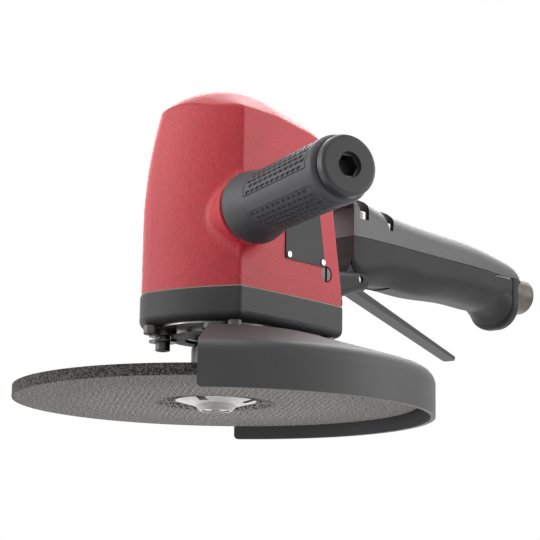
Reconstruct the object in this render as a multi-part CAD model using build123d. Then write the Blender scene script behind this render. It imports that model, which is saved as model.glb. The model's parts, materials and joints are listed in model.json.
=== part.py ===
from build123d import *
import os
from math import cos, hypot, radians, sin, sqrt, tan

# Vertical air grinder with a rear throttle handle and a side handle, in millimetres.
# Origin: spindle axis at the working face of the wheel. +Z runs up the spindle, +X points
# forward, away from the throttle handle, and +Y points to the side-handle side.

# Running gap of a shaft in its hole, and gap of a bolt in its hole
RUN_GAP = 0.05
BOLT_GAP = 0.1

# Depressed-centre wheel and what clamps it
WHEEL_R = 115.0
WHEEL_T = 6.4
WHEEL_BORE_R = 11.15
WHEEL_HUB_RISE = 6.0
WHEEL_HUB_R = 25.0
WHEEL_DISH_R = 34.0
NUT_R = 23.0
NUT_FACE_Z = -1.0
NUT_TIP_Z = -4.5
NUT_HUB_R = 12.0
BACK_FLANGE_R = 25.0
BACK_FLANGE_TOP = 33.0
BACK_HUB_R = 14.7

# Guard: half round, pressed from one sheet, hung from a full ring that turns under the base.
# Above its skirt it is a shallow cone up to a crest, with a flat floor inside. Crest and floor: radius, z.
GUARD_R = 124.2
GUARD_SHEET = 2.7
GUARD_BOTTOM = -7.2
GUARD_SHOULDER_Z = 17.2
GUARD_CREST = (58.0, 36.6)
GUARD_FLOOR = (46.0, 28.8)
GUARD_BEND_R = 6.3
GUARD_MID_ANGLE = 128.0
GUARD_ARC = 179.0
GUARD_END_CORNER = 2.5
RING_BORE_R = 18.3
RING_R = 26.5
RING_Z = (35.4, 37.4)
NECK_R = 20.8

# Levels of the base, gasket and motor housing
BASE_BOTTOM = 41.5
BASE_TOP = 59.4
HOUSING_BOTTOM = 60.0
RETAINER_BOTTOM = 40.6
RETAINER_R = 34.8
NOSE_RING_R = 17.8
NOSE_RING_BOTTOM = 37.6

# Plan outline of the housing
NEAR_CORNER = (26.3, 40.8)
NOSE_R = 44.0
NOSE_TURN = -24.2
PLAN_CORNERS_R = (2.5, 9.0, 10.0, 5.0, 5.0)
FRONT_BULGE = 4.0
SIDE_BULGE = 1.2
REAR_X = -64.0
REAR_HALF = 41.2
BASE_LIP = 0.7
GASKET_LIP = 0.3

# Upper walls of the housing: above the lean level the nose draws in along an arc
LEAN_FROM = 100.0
LEAN_R = 266.0
LEAN_TURN = -48.5
LEAN_STEPS = 5
REAR_LEAN = 10.5

# Roof of the housing: a round dome along a bent spine, drawn out to a tip over the near corner
ROOF_R = 54.9
ROOF_SPINE = ((-0.6, 0.0, 126.1), (-24.2, 1.4, 121.3), (-51.6, 1.5, 107.2))
ROOF_TIP = (27.0, 39.5, 159.6)
ROOF_TIP_R = 2.7
ROOF_TOP = 181.0
ROOF_CREASE_FROM = 140.0
ROOF_CREASE_R = 3.0
REAR_CREASE_X = -45.0

# Air motor stack
CAVITY_R = 36.0
CAVITY_TOP = 143.0
CHAMBER_R = 22.0
CHAMBER_TOP = 166.0
LINER_Z = (68.0, 128.0)
LINER_R = 35.7
LINER_BORE_R = 30.2
LINER_OFFSET = 1.6
ROTOR_R = 28.4
VANE_COUNT = 5
VANE_T = 3.0
VANE_ROOT_R = 15.0
END_PLATE_TOP = 140.0

# Bearings: bore radius, outer radius, lowest and highest level, ball radius
LOWER_BEARING = (10.0, 23.5, 42.0, 56.0, 3.8)
UPPER_BEARING = (7.5, 17.5, 129.0, 140.0, 2.7)
BALL_COUNT = 8

# Governor on the top of the spindle
GOV_PIVOT_X = 11.5
GOV_PIVOT_Z = 147.0
GOV_STUB_R = 5.0

# Throttle handle: distances are measured rearward from the spindle axis
SEAM_Z = 113.0
SEAM_GAP = 0.3
HANDLE_FRONT = 103.0
COLLAR_FROM = 271.0
COLLAR_END = 280.0
HANDLE_END = 292.0
INLET_Z = 106.5
INLET_R = 12.5
INLET_END = 307.0
INLET_THREAD_R = 7.5
INLET_BORE_R = 6.4
INLET_SPIGOT_R = 9.4
INLET_FROM = 237.0
INLET_SHOULDER = 276.0
INLET_THREAD_DEPTH = 18.0
FLANGE_HALF = 34.0
FLANGE_T = 7.0
FLANGE_Z = (61.0, 85.5)
GASKET_T = 0.8

# Throttle lever and valve
LEVER_PIVOT = (108.0, 86.3)
LEVER_DROP = 16.1
LEVER_HALF = 5.0
LEVER_LENGTH = 122.8
LEVER_EYE_R = 4.0
LEVER_ROOT = 2.3
LEVER_ROOT_AT = 6.0
LEVER_TIP = 1.0
LEVER_SLOT_HALF = 7.0
LEVER_SLOT_BACK = (102.5, 113.5, 152.0)
LEVER_SLOT_CEILING = (91.0, 88.9)
LEVER_PIN_R = 2.5
VALVE_T = 118.0
STEM_R = 2.5
STEM_SEAL_Z = 90.9
DUCT_BACK = 107.4
DUCT_R = 2.2
DUCT_Z = 95.4
DUCT_TOP = 134.4

# Side handle: start of the grip, plan direction from +X, rise, and length to the cap's face
GRIP_START = (28.8, 50.4, 100.6)
GRIP_TURN = 72.1
GRIP_RISE = 2.55
GRIP_LENGTH = 98.9
GRIP_R = 17.6
GRIP_COLLAR_R = 20.5
GRIP_CAP_R = 16.4
GRIP_BOLT_R = 6.0
GRIP_BOSS_R = 19.5
BOSS_BLEND_R = 8.0
HEX_SOCKET = 10.6

# Base screws, guard clamp screws and other fasteners
CAP_HEAD_R = 4.25
CAP_HEAD_H = 5.0
CAP_SHANK_R = 2.5
BASE_SCREW_PLACES = ((35.0, -18.5), (21.5, 33.0), (-56.0, 35.0), (-56.0, -35.0))
CLAMP_SCREW_R = 31.0
CLAMP_SCREW_ANGLE = -48.3
COVER_SCREW_PLACES = ((112.0, 124.5), (137.0, 121.5))
COVER_SCREW_Y = 13.3
COVER_POCKET_R = 6.0
FOOT_SCREW_PLACES = ((27.0, 66.5), (27.0, 79.5), (-27.0, 66.5), (-27.0, 79.5))

# Name plate and plug on the near side wall
PLATE_X = (-44.5, -9.5)
PLATE_Z = (80.5, 117.0)
PLATE_T = 0.7
PLATE_RIVETS = ((-42.0, 83.0), (-12.0, 83.0), (-12.0, 114.0), (-36.5, 114.0))
PLUG_PLACE = (-46.8, 77.0)
PLUG_R = 4.7

FAR = 400.0


# Small helpers

def rod(radius, z0, z1):
    return Pos(0, 0, z0) * extrude(Circle(radius), z1 - z0)


def tube(outer, inner, z0, z1):
    return Pos(0, 0, z0) * extrude(Circle(outer) - Circle(inner), z1 - z0)


def block(x0, x1, y0, y1, z0, z1):
    middle = Pos((x0 + x1) / 2, (y0 + y1) / 2, (z0 + z1) / 2)
    return middle * Box(x1 - x0, y1 - y0, z1 - z0)


def turned(points, arc=360.0):
    """Solid turned about Z from a closed outline of (radius, z) points."""
    outline = make_face(Polyline(*points, close=True))
    return revolve(Plane.XZ * outline, Axis.Z, revolution_arc=arc)


def bar(start, end, radius):
    """Round bar between two points."""
    direction = Vector(*end) - Vector(*start)
    return Plane(origin=start, z_dir=direction) * rod(radius, 0, direction.length)


def hexagon(across_flats, z0, z1):
    return Pos(0, 0, z0) * extrude(RegularPolygon(across_flats / 2, 6, major_radius=False), z1 - z0)


def coil_spring(radius, wire, z0, z1, turns):
    """Helical spring with its wire's middle between z0 and z1."""
    path = Helix(pitch=(z1 - z0) / turns, height=z1 - z0, radius=radius)
    section = Plane(origin=path @ 0, z_dir=path % 0) * Circle(wire)
    return Pos(0, 0, z0) * sweep(section, path)


def cap_screw(length, head_r=CAP_HEAD_R, head_h=CAP_HEAD_H, shank_r=CAP_SHANK_R):
    """Socket cap screw with its head below z = 0 and its shank above."""
    screw = rod(head_r, -head_h, 0) + rod(shank_r, 0, length)
    rim = screw.edges().filter_by(GeomType.CIRCLE).group_by(Axis.Z)[0]
    screw = chamfer(rim, 0.5)
    return screw - hexagon(shank_r * 1.6, -head_h - 1, -head_h / 2)


def group(solids):
    return Compound(children=[piece.solid() for piece in solids])


def save(name, shape):
    shape.label = name
    export_step(shape, f"parts/{name}.step")


# Plan outline and outer form of the motor housing

def near_point(sketch, point, radius):
    corner = sketch.vertices().sort_by_distance(point)[0]
    return fillet(corner, radius)


def plan_outline(grow=0.0, lean=0.0):
    """Plan of the housing, with every wall moved outward by grow and the nose drawn in by lean."""
    nose = radians(NOSE_TURN)
    drawn = Vector(cos(radians(LEAN_TURN)), sin(radians(LEAN_TURN))) * -lean
    corners = [
        Vector(*NEAR_CORNER),
        Vector(NOSE_R * cos(nose), NOSE_R * sin(nose)) + drawn,
        Vector(sqrt(NOSE_R**2 - REAR_HALF**2), -REAR_HALF) + drawn,
        Vector(REAR_X, -REAR_HALF),
        Vector(REAR_X, REAR_HALF),
    ]
    round_half_chord = (corners[2] - corners[1]).length / 2
    round_bulge = NOSE_R - sqrt(NOSE_R**2 - round_half_chord**2)
    bulges = (FRONT_BULGE, round_bulge, SIDE_BULGE, 0.0, SIDE_BULGE)
    count = len(corners)
    normals = []
    for k in range(count):
        along = (corners[(k + 1) % count] - corners[k]).normalized()
        normals.append(Vector(-along.Y, along.X))
    points = []
    for k in range(count):
        before, after = normals[k - 1], normals[k]
        points.append(corners[k] + (before + after) * (grow / (1 + before.dot(after))))
    walls = []
    for k in range(count):
        start, end = points[k], points[(k + 1) % count]
        middle = (start + end) * 0.5 + normals[k] * bulges[k]
        walls.append(ThreePointArc(start, middle, end) if bulges[k] else Line(start, end))
    outline = make_face(walls)
    for point, radius in zip(points, PLAN_CORNERS_R):
        outline = near_point(outline, point, radius + grow)
    return outline


def rear_wall_x(z, gap=0.0):
    """Rear face of the housing, which leans forward as it rises."""
    return REAR_X - gap + (z - HOUSING_BOTTOM) * tan(radians(REAR_LEAN))


def behind_housing(gap):
    """Everything behind the leaning rear face, a gap away from it."""
    outline = Polyline(
        (rear_wall_x(0, gap), 0),
        (rear_wall_x(FAR, gap), FAR),
        (-2 * FAR, FAR),
        (-2 * FAR, 0),
        close=True,
    )
    return extrude(Plane.XZ * make_face(outline), FAR / 2, both=True)


def outer_walls():
    """Walls of the housing: upright to the lean level, then drawn in at the nose."""
    top = ROOF_TOP + 4.0
    walls = Pos(0, 0, HOUSING_BOTTOM) * extrude(plan_outline(), LEAN_FROM - HOUSING_BOTTOM)
    levels = [LEAN_FROM + (top - LEAN_FROM) * k / LEAN_STEPS for k in range(LEAN_STEPS + 1)]
    sections = [Pos(0, 0, z) * plan_outline(lean=(z - LEAN_FROM) ** 2 / (2 * LEAN_R)) for z in levels]
    return walls + loft(sections) - behind_housing(0.0)


def roof_tip():
    """Cone that touches the dome all round and runs out to a small ball over the near corner."""
    crown = Vector(*ROOF_SPINE[0])
    axis = Vector(*ROOF_TIP) - crown
    lean = (ROOF_R - ROOF_TIP_R) / axis.length
    out = sqrt(1 - lean**2)
    touch = lean * ROOF_R
    end = axis.length + lean * ROOF_TIP_R
    cone = turned([(0, 0), (out * ROOF_R, touch), (out * ROOF_TIP_R, end), (0, end)])
    return Plane(origin=crown, z_dir=axis) * cone + Pos(*ROOF_TIP) * Sphere(ROOF_TIP_R)


def roof_dome():
    """Round dome along the spine, on a block that is wider than the walls."""
    dome = block(-FAR, FAR, -FAR, FAR, 0, min(z for x, y, z in ROOF_SPINE))
    for place in ROOF_SPINE:
        dome += Pos(*place) * Sphere(ROOF_R)
    for start, end in zip(ROOF_SPINE, ROOF_SPINE[1:]):
        dome += bar(start, end, ROOF_R)
    return dome + roof_tip()


def outer_form():
    """Walls under the roof, with the crease between them and the rear edges rounded."""
    walls = outer_walls()
    form = walls & roof_dome()
    creases = []
    for edge in form.edges():
        middle = edge @ 0.5
        on_wall = walls.distance_to(middle) < 0.01
        if on_wall and (middle.Z > ROOF_CREASE_FROM or (middle.X < REAR_CREASE_X and middle.Z > LEAN_FROM)):
            creases.append(edge)
    return fillet(creases, ROOF_CREASE_R)


def grip_plane():
    turn, rise = radians(GRIP_TURN), radians(GRIP_RISE)
    direction = (cos(turn) * cos(rise), sin(turn) * cos(rise), sin(rise))
    return Plane(origin=GRIP_START, x_dir=(sin(turn), -cos(turn), 0), z_dir=direction)


def grip_boss():
    """Boss that carries the side handle at the near front corner and narrows towards the wall."""
    outline = make_face(
        [
            Line((0, -34), (0, -1.5)),
            Line((0, -1.5), (GRIP_BOSS_R - 1.5, -1.5)),
            ThreePointArc((GRIP_BOSS_R - 1.5, -1.5), (GRIP_BOSS_R - 0.4, -2.0), (GRIP_BOSS_R, -3.2)),
            ThreePointArc((GRIP_BOSS_R, -3.2), (GRIP_BOSS_R - 3.4, -12.0), (GRIP_BOSS_R - 5.5, -34)),
            Line((GRIP_BOSS_R - 5.5, -34), (0, -34)),
        ]
    )
    return grip_plane() * revolve(Plane.XZ * outline, Axis.Z)


def boss_edges(form):
    """Edges where the boss meets the walls."""
    edges = []
    for edge in form.edges():
        place = grip_plane().to_local_coords(edge @ 0.5)
        if hypot(place.X, place.Y) < GRIP_BOSS_R and -40.0 < place.Z < -6.0:
            edges.append(edge)
    return edges


def motor_housing():
    form = outer_form() + grip_boss()
    form = fillet(boss_edges(form), BOSS_BLEND_R)
    form -= rod(CAVITY_R, HOUSING_BOTTOM - 1, CAVITY_TOP)
    form -= rod(CHAMBER_R, CAVITY_TOP - 1, CHAMBER_TOP)
    form -= grip_plane() * rod(9.0 + BOLT_GAP, -18.0, 5.0)
    for x, y in BASE_SCREW_PLACES:
        form -= Pos(x, y, 0) * rod(CAP_SHANK_R + BOLT_GAP, HOUSING_BOTTOM - 1, 77.0)
    for y, z in FOOT_SCREW_PLACES:
        form -= bar((rear_wall_x(z, 1.0), y, z), (rear_wall_x(z) + 13.0, y, z), CAP_SHANK_R + BOLT_GAP)
    arm_z = arm_centre_z()
    form -= bar((-60.0, 0, arm_z), (rear_wall_x(arm_z) + 9.0, 0, arm_z), ARM_SEAL_R + BOLT_GAP)
    form -= bar((-50.0, 0, arm_z), (-CHAMBER_R + 4.0, 0, arm_z), ARM_DUCT_R)
    form -= plug_hole()
    return form


# Base, gasket and their fasteners

def exhaust_duct():
    return block(REAR_X - 5, -30.0, -22.0, 22.0, 47.0, 56.0)


def base_housing():
    base = Pos(0, 0, BASE_BOTTOM) * extrude(plan_outline(BASE_LIP), BASE_TOP - BASE_BOTTOM)
    base = fillet(base.edges().group_by(Axis.Z)[0], 4.5)
    base = fillet(base.edges().group_by(Axis.Z)[-1], 0.5)
    bore_r, outer_r, low, high, _ = LOWER_BEARING
    base -= rod(outer_r, BASE_BOTTOM - 10, high)
    base -= rod(19.5, high - 1, BASE_TOP + 1)
    base -= tube(CAVITY_R - 0.5, 28.5, 47.0, BASE_TOP + 1)
    base -= exhaust_duct()
    for x, y in BASE_SCREW_PLACES:
        base -= Pos(x, y, 0) * rod(CAP_SHANK_R + BOLT_GAP, BASE_BOTTOM - 1, BASE_TOP + 1)
    for place in clamp_places():
        base -= place * rod(CAP_SHANK_R + BOLT_GAP, BASE_BOTTOM - 1, 47.0)
    return base


def base_gasket():
    sheet = Pos(0, 0, BASE_TOP) * extrude(plan_outline(GASKET_LIP), HOUSING_BOTTOM - BASE_TOP)
    sheet -= rod(CAVITY_R, BASE_TOP - 1, HOUSING_BOTTOM + 1)
    for x, y in BASE_SCREW_PLACES:
        sheet -= Pos(x, y, 0) * rod(CAP_SHANK_R + BOLT_GAP, BASE_TOP - 1, HOUSING_BOTTOM + 1)
    return sheet


def exhaust_louvre():
    """Slotted plate that closes the exhaust duct at the rear of the base."""
    plate = block(REAR_X + 0.5, REAR_X + 3.0, -21.9, 21.9, 47.1, 55.9)
    for k in range(-3, 4):
        plate -= block(REAR_X - 1, REAR_X + 4, 6.0 * k - 2.0, 6.0 * k + 2.0, 48.5, 54.5)
    return plate


def exhaust_muffler():
    return block(REAR_X + 3.3, -40.0, -21.7, 21.7, 47.2, 55.8)


def base_screws():
    return group([Pos(x, y, BASE_BOTTOM) * cap_screw(33.0) for x, y in BASE_SCREW_PLACES])


def clamp_places():
    angles = [CLAMP_SCREW_ANGLE + 90.0 * k for k in range(4)]
    return [Pos(CLAMP_SCREW_R * cos(radians(a)), CLAMP_SCREW_R * sin(radians(a)), 0) for a in angles]


def bearing_retainer():
    """Bright plate under the base that holds the bearing, with a nose inside the guard's ring."""
    plate = tube(RETAINER_R, SEAL_R, RETAINER_BOTTOM, BASE_BOTTOM)
    plate += tube(NOSE_RING_R, SEAL_R, NOSE_RING_BOTTOM, BASE_BOTTOM)
    plate += tube(LOWER_BEARING[1] - BOLT_GAP, 20.5, BASE_BOTTOM, LOWER_BEARING[2])
    for place in clamp_places():
        plate -= place * rod(CAP_SHANK_R + BOLT_GAP, RETAINER_BOTTOM - 1, BASE_BOTTOM + 1)
    return plate


CLAMP_HEAD_Z = 34.2


def guard_clamp_washers():
    """Grooved washers that hold the rim of the guard's ring."""
    lip_r, waist_r = 8.0, 4.2
    washer = turned(
        [
            (CAP_SHANK_R + BOLT_GAP, CLAMP_HEAD_Z),
            (lip_r, CLAMP_HEAD_Z),
            (lip_r, RING_Z[0] - 0.1),
            (waist_r, RING_Z[0] - 0.1),
            (waist_r, RING_Z[1] + 0.1),
            (lip_r, RING_Z[1] + 0.1),
            (lip_r, RETAINER_BOTTOM),
            (CAP_SHANK_R + BOLT_GAP, RETAINER_BOTTOM),
        ]
    )
    return group([place * washer for place in clamp_places()])


def guard_clamp_screws():
    return group([place * Pos(0, 0, CLAMP_HEAD_Z) * cap_screw(12.0) for place in clamp_places()])


# Guard

def sheet_outline(points, thickness, bend_r):
    """Closed outline of a bent sheet that lies to the left of a line of points."""
    points = [Vector(*point) for point in points]
    normals = []
    for start, end in zip(points, points[1:]):
        along = (end - start).normalized()
        normals.append(Vector(-along.Y, along.X))
    inside = [points[0] + normals[0] * thickness]
    for point, before, after in zip(points[1:], normals, normals[1:]):
        inside.append(point + (before + after) * (thickness / (1 + before.dot(after))))
    inside.append(points[-1] + normals[-1] * thickness)
    outline = make_face(Polyline(*points, *reversed(inside), close=True))
    for k in range(1, len(points) - 1):
        turns_left = normals[k - 1].cross(normals[k]).Z > 0
        outline = near_point(outline, points[k], bend_r + thickness if turns_left else bend_r)
        outline = near_point(outline, inside[k], bend_r if turns_left else bend_r + thickness)
    return outline


def guard():
    low, floor = GUARD_BOTTOM, GUARD_FLOOR[1]
    line = ((GUARD_R, low), (GUARD_R, GUARD_SHOULDER_Z), GUARD_CREST, GUARD_FLOOR, (RING_BORE_R, floor))
    outline = sheet_outline(line, GUARD_SHEET, GUARD_BEND_R)
    shell = revolve(Plane.XZ * outline, Axis.Z, revolution_arc=GUARD_ARC)
    low_edges = [edge for edge in shell.edges() if edge.center().Z < low + 0.1]
    end_edges = [edge for edge in low_edges if edge.length < GUARD_SHEET + 0.1]
    shell = fillet(end_edges, GUARD_END_CORNER)
    neck = turned(
        [(RING_BORE_R, floor - 1), (NECK_R, floor - 1), (NECK_R, RING_Z[1]), (RING_BORE_R, RING_Z[1])],
        GUARD_ARC,
    )
    half = Rot(0, 0, GUARD_MID_ANGLE - GUARD_ARC / 2) * (shell + neck)
    return half + tube(RING_R, RING_BORE_R, *RING_Z)


# Wheel and spindle

def grinding_wheel():
    return turned(
        [
            (WHEEL_BORE_R, WHEEL_HUB_RISE),
            (WHEEL_HUB_R, WHEEL_HUB_RISE),
            (WHEEL_DISH_R, 0),
            (WHEEL_R, 0),
            (WHEEL_R, WHEEL_T),
            (WHEEL_DISH_R + 2.4, WHEEL_T),
            (WHEEL_HUB_R + 2.4, WHEEL_HUB_RISE + WHEEL_T),
            (WHEEL_BORE_R, WHEEL_HUB_RISE + WHEEL_T),
        ]
    )


THREAD_R = 7.9
SEAL_R = 13.5
SHAFT_R = LOWER_BEARING[0]


def spindle_nut():
    """Flanged nut in the wheel's dish, with four spanner notches."""
    nut = turned(
        [
            (THREAD_R + RUN_GAP, WHEEL_HUB_RISE),
            (NUT_R - 1.5, WHEEL_HUB_RISE),
            (NUT_R, WHEEL_HUB_RISE - 1.5),
            (NUT_R, NUT_FACE_Z + 2.2),
            (NUT_HUB_R + 2.0, NUT_FACE_Z),
            (NUT_HUB_R, NUT_FACE_Z - 0.4),
            (THREAD_R + 1.2, NUT_TIP_Z),
            (THREAD_R + RUN_GAP, NUT_TIP_Z),
        ]
    )
    for k in range(4):
        nut -= Rot(0, 0, 90.0 * k + 20.0) * block(NUT_R - 6.0, NUT_R + 1.0, -2.6, 2.6, -5.0, 2.5)
    return nut


def backing_flange():
    top = WHEEL_HUB_RISE + WHEEL_T
    return turned(
        [
            (THREAD_R + RUN_GAP, WHEEL_HUB_RISE + 0.4),
            (WHEEL_BORE_R - 0.1, WHEEL_HUB_RISE + 0.4),
            (WHEEL_BORE_R - 0.1, top),
            (BACK_FLANGE_R, top),
            (BACK_FLANGE_R, top + 4.0),
            (BACK_HUB_R, top + 7.0),
            (BACK_HUB_R, BACK_FLANGE_TOP - 2.0),
            (BACK_HUB_R - 2.0, BACK_FLANGE_TOP),
            (THREAD_R + RUN_GAP, BACK_FLANGE_TOP),
        ]
    )


def key_block(gap):
    return block(SHAFT_R - 2.0 - gap, SHAFT_R + 2.0 + gap, -2.0 - gap, 2.0 + gap, 80.0 - gap, 116.0 + gap)


def spindle():
    seat_low, seat_high = LOWER_BEARING[2], LOWER_BEARING[3]
    top_low = UPPER_BEARING[2]
    shaft = turned(
        [
            (0, NUT_TIP_Z + 0.6),
            (THREAD_R - 1.2, NUT_TIP_Z + 0.6),
            (THREAD_R, NUT_TIP_Z + 1.8),
            (THREAD_R, BACK_FLANGE_TOP),
            (SHAFT_R, BACK_FLANGE_TOP),
            (SHAFT_R, seat_high),
            (13.0, seat_high),
            (13.0, LINER_Z[0]),
            (SHAFT_R, LINER_Z[0]),
            (SHAFT_R, LINER_Z[1]),
            (UPPER_BEARING[0], LINER_Z[1]),
            (UPPER_BEARING[0], 145.0),
            (GOV_STUB_R, 145.0),
            (GOV_STUB_R, 163.5),
            (0, 163.5),
        ]
    )
    shaft -= key_block(0.0)
    shaft -= Pos(0, 0, NUT_TIP_Z) * hexagon(6.0, 0, 6.0)
    return shaft


def rotor():
    body = tube(ROTOR_R, SHAFT_R + RUN_GAP, LINER_Z[0] + 0.2, LINER_Z[1] - 0.2)
    body -= key_block(0.02)
    for k in range(VANE_COUNT):
        slot = block(VANE_ROOT_R, ROTOR_R + 2, -VANE_T / 2 - 0.1, VANE_T / 2 + 0.1, 60.0, 140.0)
        body -= Rot(0, 0, 360.0 / VANE_COUNT * (k + 0.5)) * slot
    return body


def vanes():
    low, high = LINER_Z[0] + 0.4, LINER_Z[1] - 0.4
    blade = block(VANE_ROOT_R + 0.2, ROTOR_R - 0.2, -VANE_T / 2, VANE_T / 2, low, high)
    return group([Rot(0, 0, 360.0 / VANE_COUNT * (k + 0.5)) * blade for k in range(VANE_COUNT)])


# Bearings

def bearing_parts(spec):
    """Outer ring, inner ring, and the balls joined by their cage."""
    bore_r, outer_r, low, high, ball_r = spec
    pitch_r = (bore_r + outer_r) / 2
    middle = (low + high) / 2
    groove = Pos(0, 0, middle) * Torus(pitch_r, ball_r + 0.15)
    outer = tube(outer_r - RUN_GAP, pitch_r + ball_r * 0.72, low, high) - groove
    inner = tube(pitch_r - ball_r * 0.72, bore_r + 0.02, low, high) - groove
    cage = tube(pitch_r + 0.9, pitch_r - 0.9, middle - 1.2, middle + 1.2)
    for k in range(BALL_COUNT):
        cage += Rot(0, 0, 360.0 / BALL_COUNT * k) * (Pos(pitch_r, 0, middle) * Sphere(ball_r))
    return outer, inner, cage


# Motor stack

def lower_end_plate():
    plate = tube(LINER_R, 14.0, HOUSING_BOTTOM, LINER_Z[0])
    for k in range(6):
        port = Pos(22.0, 0, 0) * rod(4.0, HOUSING_BOTTOM - 1, LINER_Z[0] + 1)
        plate -= Rot(0, 0, 60.0 * k) * port
    return plate


def cylinder_liner():
    bore = rod(LINER_BORE_R, LINER_Z[0] - 1, LINER_Z[1] + 1)
    sleeve = rod(LINER_R, *LINER_Z) - Pos(LINER_OFFSET, 0, 0) * bore
    for k in range(3):
        sleeve -= Pos(0, 0, 84.0 + 14.0 * k) * (Rot(0, 90, 100) * rod(3.0, 0, LINER_R + 5))
    return sleeve


def upper_end_plate():
    plate = tube(LINER_R, 12.0, LINER_Z[1], END_PLATE_TOP)
    plate -= rod(UPPER_BEARING[1], UPPER_BEARING[2], END_PLATE_TOP + 1)
    for k in range(4):
        port = Pos(25.0, 0, 0) * rod(3.5, LINER_Z[1] - 1, END_PLATE_TOP + 1)
        plate -= Rot(0, 0, 90.0 * k + 45.0) * port
    return plate


def preload_ring():
    return tube(LINER_R - 0.2, 27.0, END_PLATE_TOP, CAVITY_TOP)


# Governor

def governor_carrier():
    carrier = tube(16.0, UPPER_BEARING[0] + 0.02, 141.0, 144.0)
    for side in (1, -1):
        for y0 in (-7.6, 5.2):
            ear = block(GOV_PIVOT_X - 2.6, GOV_PIVOT_X + 2.6, y0, y0 + 2.4, 143.5, GOV_PIVOT_Z + 2.6)
            carrier += Rot(0, 0, 0 if side > 0 else 180) * ear
    for side in (1, -1):
        carrier -= bar((side * GOV_PIVOT_X, -10, GOV_PIVOT_Z), (side * GOV_PIVOT_X, 10, GOV_PIVOT_Z), 1.25)
    return carrier


def governor_pins():
    ends = [(side * GOV_PIVOT_X, GOV_PIVOT_Z) for side in (1, -1)]
    return group([bar((x, -7.6, z), (x, 7.6, z), 1.2) for x, z in ends])


def governor_weight(side):
    """Flyweight: a block outside its pin and a toe that lifts the sleeve."""
    weight = block(10.0, 16.0, -4.6, 4.6, 145.2, 157.5)
    weight += block(6.6, 10.5, -3.0, 3.0, 145.4, 148.2)
    weight -= bar((GOV_PIVOT_X, -10, GOV_PIVOT_Z), (GOV_PIVOT_X, 10, GOV_PIVOT_Z), 1.27)
    return weight if side > 0 else Rot(0, 0, 180) * weight


def governor_sleeve():
    return tube(9.4, GOV_STUB_R + RUN_GAP, 148.6, 152.0) + tube(6.8, GOV_STUB_R + RUN_GAP, 152.0, 154.0)


def governor_spring():
    return coil_spring(8.0, 0.6, 152.8, 159.6, 4)


def governor_nut():
    return tube(9.4, GOV_STUB_R + 0.02, 160.4, 164.0)


# Throttle handle: rounded sections given as rearward distance, bottom, top, width, corner

HANDLE_SECTIONS = (
    (HANDLE_FRONT, 91.0, 138.5, 33.0, 9.0),
    (111.0, 85.0, 139.3, 35.5, 11.0),
    (126.0, 85.5, 138.0, 37.5, 14.0),
    (160.0, 88.0, 134.6, 38.0, 15.0),
    (205.0, 89.0, 133.0, 38.0, 15.5),
    (240.0, 89.6, 131.2, 37.0, 15.0),
    (262.0, 90.0, 129.2, 33.0, 14.5),
    (278.0, 91.0, 126.8, 30.5, 13.5),
    (287.0, 93.5, 124.4, 27.4, 12.5),
    (HANDLE_END, 97.0, 121.6, 23.0, 11.0),
)
ARM_SECTIONS = ((107.0, 130.5, 140.5, 31.0, 4.5), (40.0, 138.0, 156.5, 38.0, 7.0))
NECK_SECTIONS = ((62.0, 62.0, 85.3, 50.0, 5.0), (84.0, 70.5, 88.0, 43.0, 5.0), (116.0, 80.5, 93.0, 35.0, 5.5))
ARM_SEAL_R = 8.5
ARM_DUCT_R = 4.2

# Rear end of the lower shell, which keeps its width, flares down to the hand stop and has a bevelled ledge
BODY_END_SECTIONS = ((262.0, 90.0, 129.2, 37.0, 15.0), (285.0, 90.5, 126.8, 37.0, 15.0))
FLARE_SECTIONS = (
    (255.0, 91.0, SEAM_Z, 34.0, 10.9),
    (264.0, 88.4, SEAM_Z, 36.0, 12.2),
    (COLLAR_FROM, 82.0, SEAM_Z, 37.0, 15.4),
)
LEDGE_FROM = 252.0
LEDGE_BLOCK = 3.0

# Hand stop: a round-bottomed plate
STOP_HALF = 18.8
STOP_BOTTOM = 79.0
STOP_TOP = 139.0
STOP_CORNER_R = 16.5
STOP_EDGE_R = 3.0


def arm_centre_z():
    return (ARM_SECTIONS[1][1] + ARM_SECTIONS[1][2]) / 2


def lofted(sections):
    faces = []
    for back, bottom, top, width, corner in sections:
        plane = Plane(origin=(-back, 0, (bottom + top) / 2), x_dir=(0, 1, 0), z_dir=(-1, 0, 0))
        faces.append(plane * RectangleRounded(width, top - bottom, corner))
    return loft(faces)


def window_corner():
    """Concave web where the handle's front face meets the neck."""
    radius, floor = 12.0, 88.0
    corner = (-HANDLE_FRONT - 3.0, 84.0)
    face = make_face(
        [
            Line(corner, (-HANDLE_FRONT + radius, corner[1])),
            Line((-HANDLE_FRONT + radius, corner[1]), (-HANDLE_FRONT + radius, floor)),
            ThreePointArc(
                (-HANDLE_FRONT + radius, floor),
                (-HANDLE_FRONT + radius * (1 - sqrt(0.5)), floor + radius * (1 - sqrt(0.5))),
                (-HANDLE_FRONT, floor + radius),
            ),
            Line((-HANDLE_FRONT, floor + radius), (corner[0], floor + radius)),
            Line((corner[0], floor + radius), corner),
        ]
    )
    return extrude(Plane.XZ * face, 14.5, both=True)


def lever_slot():
    """Slot that the lever swings up into, higher over its eye."""
    half, bottom = LEVER_SLOT_HALF, 55.0
    front, middle, rear = LEVER_SLOT_BACK
    slot = block(-middle, -front, -half, half, bottom, LEVER_SLOT_CEILING[0])
    return slot + block(-rear, -middle, -half, half, bottom, LEVER_SLOT_CEILING[1])


def main_bore():
    bore = bar((-HANDLE_END - 5, 0, INLET_Z), (-INLET_SHOULDER, 0, INLET_Z), INLET_R + BOLT_GAP)
    bore += bar((-INLET_SHOULDER, 0, INLET_Z), (-INLET_FROM, 0, INLET_Z), INLET_SPIGOT_R + BOLT_GAP)
    bore += bar((-INLET_FROM, 0, INLET_Z), (-150.0, 0, INLET_Z), 7.6)
    return bore + bar((-152.0, 0, INLET_Z), (-VALVE_T, 0, INLET_Z), 3.6)


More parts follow.
